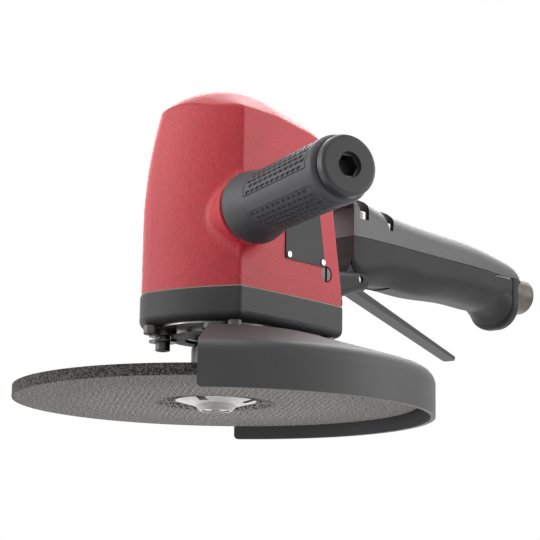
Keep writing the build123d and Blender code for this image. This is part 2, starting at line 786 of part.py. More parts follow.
def handle_body():
    body = lofted(HANDLE_SECTIONS[:6] + BODY_END_SECTIONS) + lofted(NECK_SECTIONS)
    body += lofted(FLARE_SECTIONS) + window_corner()
    flange = block(-90.0, -40.0, -FLANGE_HALF, FLANGE_HALF, *FLANGE_Z)
    flange = fillet(flange.edges().filter_by(Axis.X), 4.0)
    flange -= behind_housing(GASKET_T + FLANGE_T)
    body += flange
    body &= behind_housing(GASKET_T)
    body &= block(-COLLAR_FROM, 0, -60, 60, 40, SEAM_Z - SEAM_GAP / 2)
    ledge = Rot(45, 0, 0) * Box(COLLAR_FROM - LEDGE_FROM, LEDGE_BLOCK, LEDGE_BLOCK)
    for side in (1, -1):
        body -= Pos(-(LEDGE_FROM + COLLAR_FROM) / 2, side * BODY_END_SECTIONS[0][3] / 2, SEAM_Z) * ledge
    body -= lever_slot()
    body -= main_bore()
    pivot = (-LEVER_PIVOT[0], LEVER_PIVOT[1])
    body -= bar((pivot[0], -13.0, pivot[1]), (pivot[0], 30.0, pivot[1]), LEVER_PIN_R + 0.02)
    valve = Pos(-VALVE_T, 0, 0)
    body -= valve * rod(7.0, 97.0, SEAM_Z + 1)
    body -= valve * rod(6.2, 92.6, 98.0)
    body -= valve * rod(5.0, 80.0, 92.7)
    body -= bar((-VALVE_T, 0, DUCT_Z), (-DUCT_BACK, 0, DUCT_Z), DUCT_R)
    body -= Pos(-DUCT_BACK, 0, 0) * rod(DUCT_R, DUCT_Z, SEAM_Z + 1)
    for back, _ in COVER_SCREW_PLACES:
        for side in (1, -1):
            body -= Pos(-back, side * COVER_SCREW_Y, 0) * rod(CAP_SHANK_R + BOLT_GAP, 97.0, SEAM_Z + 1)
    for y, z in FOOT_SCREW_PLACES:
        start = (rear_wall_x(z) + 5, y, z)
        body -= bar(start, (rear_wall_x(z) - 20, y, z), CAP_SHANK_R + BOLT_GAP)
        body -= bar((rear_wall_x(z, GASKET_T + 4.0), y, z), (rear_wall_x(z) - 40, y, z), CAP_HEAD_R + 0.4)
    return body


def handle_cover():
    cover = lofted(HANDLE_SECTIONS) + lofted(ARM_SECTIONS)
    cover &= behind_housing(GASKET_T)
    cover &= block(-FAR, 0, -60, 60, SEAM_Z + SEAM_GAP / 2, 200)
    cover -= main_bore()
    arm_z = arm_centre_z()
    cover += bar((rear_wall_x(arm_z) - 2, 0, arm_z), (rear_wall_x(arm_z) + 8, 0, arm_z), ARM_SEAL_R - 1.8)
    cover -= bar((-DUCT_BACK, 0, DUCT_TOP), (rear_wall_x(arm_z) - 6, 0, arm_z), ARM_DUCT_R - 0.4)
    cover -= bar((rear_wall_x(arm_z) - 9, 0, arm_z), (0, 0, arm_z), ARM_DUCT_R)
    cover -= Pos(-DUCT_BACK, 0, 0) * rod(DUCT_R, SEAM_Z - 1, DUCT_TOP)
    cover -= block(-INLET_FROM, -160.0, -13.0, 13.0, SEAM_Z - 1, SEAM_Z + 12.0)
    for back, seat_z in COVER_SCREW_PLACES:
        for side in (1, -1):
            place = Pos(-back, side * COVER_SCREW_Y, 0)
            cover -= place * rod(CAP_SHANK_R + BOLT_GAP, SEAM_Z - 1, seat_z)
            cover -= place * rod(COVER_POCKET_R, seat_z, 160.0)
    return cover


def handle_end_collar():
    """Hand stop that the air inlet clamps to the end of the lower shell."""
    start = COLLAR_FROM + 0.3
    plane = Plane(origin=(-start, 0, (STOP_BOTTOM + STOP_TOP) / 2), x_dir=(0, 1, 0), z_dir=(-1, 0, 0))
    outline = RectangleRounded(2 * STOP_HALF, STOP_TOP - STOP_BOTTOM, STOP_CORNER_R)
    stop = plane * extrude(outline, COLLAR_END - start)
    ends = stop.edges().group_by(Axis.X)
    stop = fillet(ends[0] + ends[-1], STOP_EDGE_R)
    stop &= block(-FAR, 0, -60, 60, 0, SEAM_Z - SEAM_GAP / 2)
    return stop - main_bore()


def inlet_bushing():
    """Threaded air inlet that clamps the hand stop to the handle."""
    body = bar((-INLET_FROM, 0, INLET_Z), (-INLET_SHOULDER, 0, INLET_Z), INLET_SPIGOT_R)
    body += bar((-INLET_SHOULDER, 0, INLET_Z), (-INLET_END, 0, INLET_Z), INLET_R)
    body = chamfer(body.edges().sort_by(Axis.X)[0], 1.0)
    body -= bar((-INLET_FROM + 1, 0, INLET_Z), (-INLET_END - 1, 0, INLET_Z), INLET_BORE_R)
    body -= bar((-INLET_END + INLET_THREAD_DEPTH, 0, INLET_Z), (-INLET_END - 1, 0, INLET_Z), INLET_THREAD_R)
    return body


def inlet_screen():
    """Drilled strainer behind the inlet thread."""
    start = -INLET_END + INLET_THREAD_DEPTH + 3.0
    disc = bar((start, 0, INLET_Z), (start - 0.8, 0, INLET_Z), INLET_BORE_R - 0.05)
    for k in range(6):
        angle = radians(60.0 * k)
        centre = (4.0 * cos(angle), INLET_Z + 4.0 * sin(angle))
        disc -= bar((start + 1, centre[0], centre[1]), (start - 2, centre[0], centre[1]), 1.1)
    return disc


def handle_gasket():
    sheet = block(-90.0, -40.0, -FLANGE_HALF + 0.5, FLANGE_HALF - 0.5, FLANGE_Z[0] + 0.5, FLANGE_Z[1] - 0.5)
    sheet = fillet(sheet.edges().filter_by(Axis.X), 3.5)
    sheet = (sheet & behind_housing(0.0)) - behind_housing(GASKET_T)
    for y, z in FOOT_SCREW_PLACES:
        sheet -= bar((rear_wall_x(z) + 5, y, z), (rear_wall_x(z) - 20, y, z), CAP_SHANK_R + BOLT_GAP)
    return sheet


def foot_screws():
    screws = []
    for y, z in FOOT_SCREW_PLACES:
        seat = Plane(origin=(rear_wall_x(z, GASKET_T + 4.0), y, z), z_dir=(1, 0, 0))
        screws.append(seat * cap_screw(16.0))
    return group(screws)


def cover_screws():
    screws = []
    for back, seat_z in COVER_SCREW_PLACES:
        for side in (1, -1):
            seat = Plane(origin=(-back, side * COVER_SCREW_Y, seat_z), z_dir=(0, 0, -1))
            screws.append(seat * cap_screw(24.0))
    return group(screws)


def arm_seal():
    """Rubber sleeve that seals the arm's air spigot in the housing."""
    arm_z = arm_centre_z()
    start = rear_wall_x(arm_z) + 1.5
    sleeve = bar((start, 0, arm_z), (start + 7.0, 0, arm_z), ARM_SEAL_R)
    return sleeve - bar((start - 1, 0, arm_z), (start + 9, 0, arm_z), ARM_SEAL_R - 1.75)


# Throttle lever and valve

def throttle_lever():
    """Straight bar that hangs below the handle and gets thinner towards its tip."""
    end = LEVER_LENGTH - LEVER_TIP
    outline = make_face(
        [
            Line((0, -LEVER_EYE_R), (LEVER_ROOT_AT, -LEVER_ROOT)),
            Line((LEVER_ROOT_AT, -LEVER_ROOT), (end, -LEVER_TIP)),
            ThreePointArc((end, -LEVER_TIP), (LEVER_LENGTH, 0), (end, LEVER_TIP)),
            Line((end, LEVER_TIP), (LEVER_ROOT_AT, LEVER_ROOT)),
            Line((LEVER_ROOT_AT, LEVER_ROOT), (0, LEVER_EYE_R)),
            ThreePointArc((0, LEVER_EYE_R), (-LEVER_EYE_R, 0), (0, -LEVER_EYE_R)),
        ]
    )
    lever = extrude(Plane.XZ * outline, LEVER_HALF, both=True)
    plan = RectangleRounded(LEVER_LENGTH + 20.0, 2 * LEVER_HALF, 3.5)
    lever &= Pos((LEVER_LENGTH - 20.0) / 2, 0, -10.0) * extrude(plan, 20.0)
    lever -= bar((0, -20, 0), (0, 20, 0), LEVER_PIN_R + RUN_GAP)
    place = Pos(-LEVER_PIVOT[0], 0, LEVER_PIVOT[1]) * Rot(0, 0, 180) * Rot(0, LEVER_DROP, 0)
    return place * lever


def lever_pin():
    x, z = -LEVER_PIVOT[0], LEVER_PIVOT[1]
    return bar((x, -13.0, z), (x, 16.9, z), LEVER_PIN_R)


def lever_top_z(back):
    along = back - LEVER_PIVOT[0]
    drop = radians(LEVER_DROP)
    taper = (LEVER_ROOT - LEVER_TIP) / (LEVER_LENGTH - LEVER_TIP - LEVER_ROOT_AT)
    edge = LEVER_ROOT - taper * (along / cos(drop) - LEVER_ROOT_AT)
    return LEVER_PIVOT[1] - along * tan(drop) + edge / cos(drop)


def throttle_valve():
    """Poppet on a stem that the lever lifts off its seat."""
    stem_foot = lever_top_z(VALVE_T - STEM_R) + 0.15
    return Pos(-VALVE_T, 0, 0) * turned(
        [
            (0, stem_foot),
            (STEM_R - 0.6, stem_foot),
            (STEM_R, stem_foot + 0.6),
            (STEM_R, 99.9),
            (5.6, 99.9),
            (5.6, 101.4),
            (3.2, 101.4),
            (3.2, 103.0),
            (0, 103.0),
        ]
    )


def stem_bushing():
    sleeve = tube(4.95, STEM_R + RUN_GAP, STEM_SEAL_Z - 1.7, STEM_SEAL_Z + 1.7)
    return Pos(-VALVE_T, 0, 0) * (sleeve - Pos(0, 0, STEM_SEAL_Z) * Torus(3.2, 1.05))


def stem_seal():
    return Pos(-VALVE_T, 0, STEM_SEAL_Z) * Torus(3.42, 0.82)


def valve_seat():
    return Pos(-VALVE_T, 0, 0) * tube(6.95, 4.3, 97.1, 99.8)


def valve_spring():
    return Pos(-VALVE_T, 0, 0) * coil_spring(4.3, 0.4, 101.9, 108.5, 3)


def valve_cap():
    cap = tube(6.95, 2.6, 109.0, 112.6) + rod(6.95, 110.6, 112.6)
    cap -= block(-8, 8, -0.8, 0.8, 111.4, 113.0)
    return Pos(-VALVE_T, 0, 0) * cap


# Side handle

def on_grip(outline):
    face = make_face(outline)
    return grip_plane() * revolve(Plane.XZ * face, Axis.Z)


CORE_R = 9.0
GRIP_END = 92.0


def side_grip():
    """Rubber grip with a rounded collar at the housing and a rounded lip at the cap."""
    bore = CORE_R + 0.05
    return on_grip(
        [
            Line((bore, 0.3), (GRIP_COLLAR_R - 3.0, 0.3)),
            ThreePointArc((GRIP_COLLAR_R - 3.0, 0.3), (GRIP_COLLAR_R - 0.6, 1.9), (GRIP_COLLAR_R, 5.0)),
            ThreePointArc((GRIP_COLLAR_R, 5.0), (GRIP_R + 1.2, 15.0), (GRIP_R, 26.0)),
            ThreePointArc((GRIP_R, 26.0), (GRIP_R + 0.35, 56.0), (GRIP_R + 0.8, 88.0)),
            ThreePointArc((GRIP_R + 0.8, 88.0), (GRIP_R + 0.2, 90.8), (GRIP_R - 2.0, GRIP_END)),
            Line((GRIP_R - 2.0, GRIP_END), (bore, GRIP_END)),
            Line((bore, GRIP_END), (bore, 0.3)),
        ]
    )


def side_core():
    core = tube(CORE_R, GRIP_BOLT_R + 0.2, 0.0, 86.0)
    return grip_plane() * core


def side_bolt():
    bolt = rod(GRIP_BOLT_R, -16.0, 86.0) + rod(CORE_R - 0.1, 86.0, 96.5)
    bolt -= hexagon(HEX_SOCKET, 89.0, 100.0)
    return grip_plane() * bolt


def side_cap():
    """End cap ring around the bolt's head."""
    cap_r, face = GRIP_CAP_R, GRIP_LENGTH
    hole = HEX_SOCKET / 2 / cos(radians(30)) + 0.8
    return on_grip(
        [
            Line((CORE_R, GRIP_END + 0.1), (cap_r - 2.4, GRIP_END + 0.1)),
            Line((cap_r - 2.4, GRIP_END + 0.1), (cap_r - 2.4, GRIP_END + 1.6)),
            Line((cap_r - 2.4, GRIP_END + 1.6), (cap_r, GRIP_END + 1.6)),
            Line((cap_r, GRIP_END + 1.6), (cap_r, face - 2.0)),
            ThreePointArc((cap_r, face - 2.0), (cap_r - 0.6, face - 0.6), (cap_r - 2.0, face)),
            Line((cap_r - 2.0, face), (hole, face)),
            Line((hole, face), (hole, 96.6)),
            Line((hole, 96.6), (CORE_R, 96.6)),
            Line((CORE_R, 96.6), (CORE_R, GRIP_END + 0.1)),
        ]
    )


def side_insert():
    return grip_plane() * tube(9.0, GRIP_BOLT_R + 0.05, -17.5, -2.0)


# Name plate, rivets and plug on the near side wall

def wall_skin(thickness):
    outer = Pos(0, 0, HOUSING_BOTTOM) * extrude(plan_outline(thickness), 100.0)
    return outer - Pos(0, 0, HOUSING_BOTTOM - 1) * extrude(plan_outline(), 102.0)


def name_plate():
    slope = (PLATE_Z[1] - PLATE_Z[0]) * tan(radians(REAR_LEAN))
    outline = make_face(
        Polyline(
            (PLATE_X[0], PLATE_Z[0]),
            (PLATE_X[1], PLATE_Z[0]),
            (PLATE_X[1], PLATE_Z[1]),
            (PLATE_X[0] + slope, PLATE_Z[1]),
            close=True,
        )
    )
    outline = fillet(outline.vertices(), 1.5)
    window = extrude(Plane.XZ * outline, -100.0)
    plate = wall_skin(PLATE_T) & window
    for x, z in PLATE_RIVETS:
        plate -= bar((x, 30, z), (x, 60, z), 1.1)
    return plate


def wall_y(x):
    """Outer face of the near side wall at a given x."""
    probe = wall_skin(PLATE_T) & block(x - 0.1, x + 0.1, 30, 60, 90, 90.2)
    return probe.bounding_box().min.Y


def plate_rivets():
    rivets = []
    for x, z in PLATE_RIVETS:
        y = wall_y(x)
        head = y + PLATE_T + 0.15
        rivets.append(bar((x, y + 0.1, z), (x, head, z), 1.0) + bar((x, head, z), (x, head + 0.6, z), 1.7))
    return group(rivets)


def plug_hole():
    x, z = PLUG_PLACE
    return bar((x, 36.0, z), (x, 60.0, z), PLUG_R + BOLT_GAP)


def side_plug():
    """Slotted plug, sunk a little into the wall."""
    x, z = PLUG_PLACE
    face = wall_y(x) - 0.6
    plug = bar((x, 36.1, z), (x, face, z), PLUG_R)
    plug = chamfer(plug.edges().sort_by(Axis.Y)[-1], 0.6)
    return plug - block(x - 0.9, x + 0.9, face - 1.8, face + 1, z - 8, z + 8)


def shaft_seal():
    return tube(SEAL_R - BOLT_GAP, SHAFT_R + RUN_GAP, NOSE_RING_BOTTOM + 0.4, BASE_BOTTOM - 0.1)


def main():
    os.makedirs("parts", exist_ok=True)
    lower_outer, lower_inner, lower_cage = bearing_parts(LOWER_BEARING)
    upper_outer, upper_inner, upper_cage = bearing_parts(UPPER_BEARING)
    pieces = {
        "motor_housing": motor_housing(),
        "base_housing": base_housing(),
        "base_gasket": base_gasket(),
        "base_screws": base_screws(),
        "exhaust_louvre": exhaust_louvre(),
        "exhaust_muffler": exhaust_muffler(),
        "bearing_retainer": bearing_retainer(),
        "guard_clamp_washers": guard_clamp_washers(),
        "guard_clamp_screws": guard_clamp_screws(),
        "shaft_seal": shaft_seal(),
        "guard": guard(),
        "grinding_wheel": grinding_wheel(),
        "backing_flange": backing_flange(),
        "spindle_nut": spindle_nut(),
        "spindle": spindle(),
        "rotor_key": key_block(-0.01),
        "rotor": rotor(),
        "vanes": vanes(),
        "lower_bearing_outer": lower_outer,
        "lower_bearing_inner": lower_inner,
        "lower_bearing_balls": lower_cage,
        "upper_bearing_outer": upper_outer,
        "upper_bearing_inner": upper_inner,
        "upper_bearing_balls": upper_cage,
        "lower_end_plate": lower_end_plate(),
        "cylinder_liner": cylinder_liner(),
        "upper_end_plate": upper_end_plate(),
        "preload_ring": preload_ring(),
        "governor_carrier": governor_carrier(),
        "governor_pins": governor_pins(),
        "governor_weight_front": governor_weight(1),
        "governor_weight_rear": governor_weight(-1),
        "governor_sleeve": governor_sleeve(),
        "governor_spring": governor_spring(),
        "governor_nut": governor_nut(),
        "handle_body": handle_body(),
        "handle_cover": handle_cover(),
        "handle_end_collar": handle_end_collar(),
        "handle_gasket": handle_gasket(),
        "foot_screws": foot_screws(),
        "cover_screws": cover_screws(),
        "arm_seal": arm_seal(),
        "inlet_bushing": inlet_bushing(),
        "inlet_screen": inlet_screen(),
        "throttle_lever": throttle_lever(),
        "lever_pin": lever_pin(),
        "throttle_valve": throttle_valve(),
        "stem_bushing": stem_bushing(),
        "stem_seal": stem_seal(),
        "valve_seat": valve_seat(),
        "valve_spring": valve_spring(),
        "valve_cap": valve_cap(),
        "side_grip": side_grip(),
        "side_core": side_core(),
        "side_bolt": side_bolt(),
        "side_cap": side_cap(),
        "side_insert": side_insert(),
        "name_plate": name_plate(),
        "plate_rivets": plate_rivets(),
    }
    pieces["side_plug"] = side_plug()
    for name, shape in pieces.items():
        save(name, shape)


main()
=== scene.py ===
import json
from math import cos, pi, radians, sin

import bpy
from mathutils import Matrix, Vector


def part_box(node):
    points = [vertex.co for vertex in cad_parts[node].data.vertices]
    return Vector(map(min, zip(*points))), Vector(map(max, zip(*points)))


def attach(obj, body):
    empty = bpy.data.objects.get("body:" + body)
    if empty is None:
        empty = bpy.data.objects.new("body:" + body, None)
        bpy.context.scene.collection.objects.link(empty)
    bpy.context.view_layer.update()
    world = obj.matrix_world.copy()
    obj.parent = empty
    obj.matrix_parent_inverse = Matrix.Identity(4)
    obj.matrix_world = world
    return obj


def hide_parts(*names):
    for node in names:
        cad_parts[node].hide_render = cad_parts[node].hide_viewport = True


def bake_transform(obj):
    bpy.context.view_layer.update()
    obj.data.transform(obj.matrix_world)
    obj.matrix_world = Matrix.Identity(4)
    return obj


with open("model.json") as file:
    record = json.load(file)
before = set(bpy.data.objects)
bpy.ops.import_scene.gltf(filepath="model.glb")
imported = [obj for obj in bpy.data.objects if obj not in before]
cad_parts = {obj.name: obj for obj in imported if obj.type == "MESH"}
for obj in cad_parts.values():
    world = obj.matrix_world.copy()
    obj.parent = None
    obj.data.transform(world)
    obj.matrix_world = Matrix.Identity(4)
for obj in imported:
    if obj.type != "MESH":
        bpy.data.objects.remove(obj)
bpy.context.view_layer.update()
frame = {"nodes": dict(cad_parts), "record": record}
nodes = frame["nodes"]
record = frame["record"]

# Camera, worked out from the photograph: where the eye is and how it is turned
EYE = (0.78334, 0.73234, -0.13382)
YAW = radians(48.5)
PITCH = radians(11.155)
ROLL = radians(0.955)
LENS = 126.67
SENSOR = 36.0

# Stage: the floor's level and half width, how much it glows to the camera, and the light from all round
FLOOR_Z = -0.15
FLOOR_HALF = 4.0
FLOOR_GLOW = 0.32
AMBIENT = 0.38

# Lamps: name, place, width and power. All of them point at one spot in the tool.
AIM = (-0.05, 0.02, 0.1)
LAMPS = (
    ("back_top", (-1.05, -0.9, 0.7), 1.3, 23.0),
    ("side_right", (-0.78, 1.02, 0.38), 0.9, 6.0),
    ("front_left", (0.85, -0.95, 0.45), 1.2, 9.5),
    ("rear_top", (-0.95, -0.05, 1.05), 0.9, 6.5),
    ("top", (0.1, 0.1, 1.4), 0.9, 6.0),
)

# Slow shifts of tone, as the scale of a noise texture
PAINT_TONE = 25.0
WRINKLE_TONE = 18.0
METAL_TONE = 90.0

# How far the roughness strays to either side of its middle value
PAINT_STRAY = 0.06
WRINKLE_STRAY = 0.1
METAL_STRAY = 0.1

# Glass mesh in the wheel: direction and spacing of its threads, and the radii over which it fades in and out
WEAVE_TURN = radians(50.0)
WEAVE_PITCH = 0.0034
WEAVE_STARTS = (0.033, 0.037)
WEAVE_ENDS = (0.088, 0.066)
WEAVE_FAINTER = 0.45

# Grit of the wheel: scales of its two textures, depth of the bump, and the radii where the painted shade on
# the rim starts
GRIT_SCALE = 760.0
SPECK_SCALE = 520.0
GRIT_DEPTH = 0.0004
RIM_SHADE_RADII = (0.1136, 0.1146)

MM = 0.001
WHITE = (1.0, 1.0, 1.0, 1.0)


def srgb(red, green, blue):
    """A colour as a screen shows it, 0 to 255, turned into the linear values that a shader takes."""
    def linear(value):
        share = value / 255
        return share / 12.92 if share <= 0.04045 else ((share + 0.055) / 1.055) ** 2.4
    return linear(red), linear(green), linear(blue), 1.0


def add_node(tree, kind, inputs=None, **settings):
    """A shader node with its settings, its constants and its links."""
    made = tree.nodes.new(kind)
    for name, value in settings.items():
        setattr(made, name, value)
    for name, value in (inputs or {}).items():
        if isinstance(value, bpy.types.NodeSocket):
            tree.links.new(value, made.inputs[name])
        else:
            made.inputs[name].default_value = value
    return made


def new_material(name, roughness, metallic=0.0, specular=0.5):
    material = bpy.data.materials.new(name)
    material.use_nodes = True
    tree = material.node_tree
    bsdf = tree.nodes["Principled BSDF"]
    bsdf.inputs["Roughness"].default_value = roughness
    bsdf.inputs["Metallic"].default_value = metallic
    bsdf.inputs["Specular IOR Level"].default_value = specular
    place = add_node(tree, "ShaderNodeTexCoord").outputs["Object"]
    return material, tree, bsdf, place


def noise(tree, place, scale, detail=3.0, roughness=0.55):
    return add_node(
        tree, "ShaderNodeTexNoise",
        {"Vector": place, "Scale": scale, "Detail": detail, "Roughness": roughness},
    ).outputs["Fac"]


def ramp(tree, factor, low, high, start=0.3, end=0.7):
    """Two colours blended where the factor goes from start to end."""
    made = add_node(tree, "ShaderNodeValToRGB", {"Fac": factor})
    made.color_ramp.elements[0].position = start
    made.color_ramp.elements[0].color = low
    made.color_ramp.elements[1].position = end
    made.color_ramp.elements[1].color = high
    return made.outputs["Color"]


def bump(tree, height, distance, strength=1.0, normal=None):
    inputs = {"Height": height, "Distance": distance, "Strength": strength}
    if normal is not None:
        inputs["Normal"] = normal
    return add_node(tree, "ShaderNodeBump", inputs).outputs["Normal"]


def between(tree, value, low, high):
    return add_node(
        tree, "ShaderNodeMapRange", {"Value": value, "To Min": low, "To Max": high}
    ).outputs["Result"]


def coated(name, dark, light, roughness, grain, depth, specular=0.5):
    """Paint or moulded plastic: slow shifts of tone and a fine grain."""
    material, tree, bsdf, place = new_material(name, roughness, specular=specular)
    tone = noise(tree, place, PAINT_TONE)
    fine = noise(tree, place, grain, 4.0, 0.6)
    tree.links.new(ramp(tree, tone, dark, light), bsdf.inputs["Base Color"])
    gloss = between(tree, fine, roughness - PAINT_STRAY, roughness + PAINT_STRAY)
    tree.links.new(gloss, bsdf.inputs["Roughness"])
    tree.links.new(bump(tree, fine, depth), bsdf.inputs["Normal"])
    return material


def wrinkled(name, dark, light, roughness, grain, depth):
    """Wrinkle paint: rounded cells under a fine noise, with uneven tone and gloss."""
    material, tree, bsdf, place = new_material(name, roughness)
    uneven = noise(tree, place, grain / 2, 2.0)
    cells = add_node(
        tree, "ShaderNodeTexVoronoi",
        {"Vector": place, "Scale": grain, "Randomness": 1.0},
        feature="SMOOTH_F1",
    ).outputs["Distance"]
    fine = noise(tree, place, grain, 3.0, 0.6)
    height = add_node(tree, "ShaderNodeMath", {0: fine, 1: cells}, operation="SUBTRACT").outputs[0]
    slow = noise(tree, place, WRINKLE_TONE)
    tone = add_node(tree, "ShaderNodeMath", {0: slow, 1: uneven}, operation="MULTIPLY").outputs[0]
    tree.links.new(ramp(tree, tone, dark, light, 0.1, 0.4), bsdf.inputs["Base Color"])
    gloss = between(tree, uneven, roughness - WRINKLE_STRAY, roughness + WRINKLE_STRAY)
    tree.links.new(gloss, bsdf.inputs["Roughness"])
    tree.links.new(bump(tree, height, depth), bsdf.inputs["Normal"])
    return material


def metal(name, dark, light, roughness, grain=900.0, depth=0.00003):
    """Bare metal with a faint grain."""
    material, tree, bsdf, place = new_material(name, roughness, metallic=1.0)
    tone = noise(tree, place, METAL_TONE)
    fine = noise(tree, place, grain, 4.0, 0.65)
    tree.links.new(ramp(tree, tone, dark, light), bsdf.inputs["Base Color"])
    gloss = between(tree, fine, roughness - METAL_STRAY, roughness + METAL_STRAY)
    tree.links.new(gloss, bsdf.inputs["Roughness"])
    tree.links.new(bump(tree, fine, depth), bsdf.inputs["Normal"])
    return material


def radius_share(tree, place, start, end):
    """0 at the start radius about the spindle, 1 at the end radius, and level beyond both."""
    flat = add_node(tree, "ShaderNodeVectorMath", {0: place, 1: (1.0, 1.0, 0.0)}, operation="MULTIPLY")
    radius = add_node(tree, "ShaderNodeVectorMath", {0: flat.outputs[0]}, operation="LENGTH").outputs["Value"]
    return add_node(
        tree, "ShaderNodeMapRange", {"Value": radius, "From Min": start, "From Max": end}
    ).outputs["Result"]


def blend_colour(tree, factor, first, second):
    made = add_node(tree, "ShaderNodeMix", data_type="RGBA")
    tree.links.new(factor, made.inputs["Factor"])
    tree.links.new(first, made.inputs["A"])
    tree.links.new(second, made.inputs["B"])
    return made.outputs["Result"]


def weave_line(tree, place, turn, pitch):
    """1 on the threads of a woven mesh that run at one angle, 0 between them."""
    turned = add_node(tree, "ShaderNodeMapping", {"Vector": place, "Rotation": (0.0, 0.0, -turn)})
    # A wave texture repeats every pi / (10 * scale)
    wave_scale = pi / (10.0 * pitch)
    wave = add_node(
        tree, "ShaderNodeTexWave",
        {
            "Vector": turned.outputs["Vector"], "Scale": wave_scale, "Distortion": 0.6,
            "Detail": 1.0, "Detail Scale": 60.0,
        },
        wave_type="BANDS", bands_direction="Y",
    ).outputs["Fac"]
    return add_node(
        tree, "ShaderNodeMapRange", {"Value": wave, "From Min": 0.7, "From Max": 1.0}
    ).outputs["Result"]


def abrasive():
    """Bonded grit with the glass mesh showing around the middle, and painted shade: the rim is given darker
    grit colours than the faces.
    """
    material, tree, bsdf, place = new_material("abrasive_grit", 0.85, specular=0.25)
    grit = noise(tree, place, GRIT_SCALE, 3.0, 0.65)
    cells = add_node(tree, "ShaderNodeTexVoronoi", {"Vector": place, "Scale": SPECK_SCALE})
    speck = cells.outputs["Distance"]
    stone = ramp(tree, grit, srgb(34, 32, 31), srgb(144, 141, 138), 0.42, 0.6)
    # Painted shade: a darker copy of the grit colours for the rim of the wheel
    shaded_rim_colour = ramp(tree, grit, srgb(30, 29, 28), srgb(112, 108, 105), 0.4, 0.68)
    across = weave_line(tree, place, WEAVE_TURN, WEAVE_PITCH)
    along = weave_line(tree, place, WEAVE_TURN + pi / 2, WEAVE_PITCH)
    fainter = between(tree, along, 0.0, WEAVE_FAINTER)
    thread = add_node(tree, "ShaderNodeMath", {0: across, 1: fainter}, operation="MAXIMUM").outputs[0]
    inner = radius_share(tree, place, *WEAVE_STARTS)
    outer = radius_share(tree, place, *WEAVE_ENDS)
    zone = add_node(tree, "ShaderNodeMath", {0: inner, 1: outer}, operation="MULTIPLY").outputs[0]
    shown = add_node(tree, "ShaderNodeMath", {0: thread, 1: zone}, operation="MULTIPLY").outputs[0]
    pale = ramp(tree, grit, srgb(78, 74, 71), srgb(168, 164, 159), 0.42, 0.6)
    face = blend_colour(tree, shown, stone, pale)
    # Painted shade on the rim: 0 inside its inner radius, 1 from its outer radius outwards
    edge = radius_share(tree, place, *RIM_SHADE_RADII)
    tree.links.new(blend_colour(tree, edge, face, shaded_rim_colour), bsdf.inputs["Base Color"])
    rough = bump(tree, grit, GRIT_DEPTH)
    tree.links.new(bump(tree, speck, GRIT_DEPTH, 0.6, rough), bsdf.inputs["Normal"])
    return material


MATERIALS = {
    "red_paint": wrinkled("red_paint", srgb(178, 36, 47), srgb(200, 52, 62), 0.5, 950.0, 0.00015),
    "dark_paint": coated("dark_paint", srgb(42, 42, 44), srgb(52, 52, 54), 0.52, 900.0, 0.00006, 0.4),
    "guard_paint": coated("guard_paint", srgb(40, 40, 42), srgb(46, 46, 48), 0.54, 900.0, 0.00004, 0.65),
    "handle_shell": coated("handle_shell", srgb(30, 30, 32), srgb(38, 38, 40), 0.5, 900.0, 0.00005, 0.25),
    "cover_shell": coated("cover_shell", srgb(48, 48, 50), srgb(56, 56, 58), 0.46, 520.0, 0.00016, 0.75),
    "handle_rubber": coated("handle_rubber", srgb(28, 28, 30), srgb(36, 36, 38), 0.5, 900.0, 0.00005, 0.25),
    "grip_rubber": coated("grip_rubber", srgb(56, 56, 59), srgb(64, 64, 67), 0.5, 900.0, 0.00006, 0.45),
    "cap_plastic": coated("cap_plastic", srgb(38, 38, 40), srgb(46, 46, 48), 0.36, 900.0, 0.00003),
    "gasket_fibre": coated(
        "gasket_fibre", srgb(142, 138, 128), srgb(168, 164, 154), 0.8, 900.0, 0.00006, 0.2
    ),
    "seal_rubber": coated("seal_rubber", srgb(28, 28, 29), srgb(38, 38, 39), 0.7, 900.0, 0.00005, 0.3),
    "abrasive": abrasive(),
    "bright_steel": metal("bright_steel", srgb(146, 144, 143), srgb(176, 174, 172), 0.34),
    "dark_steel": metal("dark_steel", srgb(70, 69, 68), srgb(92, 91, 90), 0.38),
    "inner_steel": metal("inner_steel", srgb(140, 140, 142), srgb(170, 170, 172), 0.35),
    "inlet_steel": metal("inlet_steel", srgb(76, 70, 66), srgb(108, 103, 100), 0.4),
    "vane_resin": coated("vane_resin", srgb(88, 58, 34), srgb(112, 76, 46), 0.55, 600.0, 0.00006),
    "brass": metal("brass", srgb(176, 140, 74), srgb(204, 168, 98), 0.32),
    "lever_paint": coated("lever_paint", srgb(32, 32, 34), srgb(40, 40, 42), 0.42, 900.0, 0.00005, 0.35),
    "plate_foil": coated("plate_foil", srgb(32, 32, 34), srgb(40, 40, 42), 0.5, 500.0, 0.00002, 0.35),
    "rivet_metal": metal("rivet_metal", srgb(170, 168, 166), srgb(200, 198, 196), 0.3),
    "louvre_plastic": coated("louvre_plastic", srgb(40, 40, 41), srgb(50, 50, 51), 0.55, 900.0, 0.00005),
}

for part in record["subparts"]:
    mesh = nodes[part["node"]].data
    mesh.materials.clear()
    mesh.materials.append(MATERIALS[part["material_slot"]])


def new_piece(name, points, faces, sharp, material):
    """A mesh object, smooth but for edges where its faces meet at more than the sharp angle in degrees."""
    mesh = bpy.data.meshes.new(name)
    mesh.from_pydata(points, [], faces)
    mesh.shade_smooth()
    mesh.set_sharp_from_angle(angle=radians(sharp))
    mesh.materials.append(MATERIALS[material])
    piece = bpy.data.objects.new(name, mesh)
    bpy.context.scene.collection.objects.link(piece)
    return piece


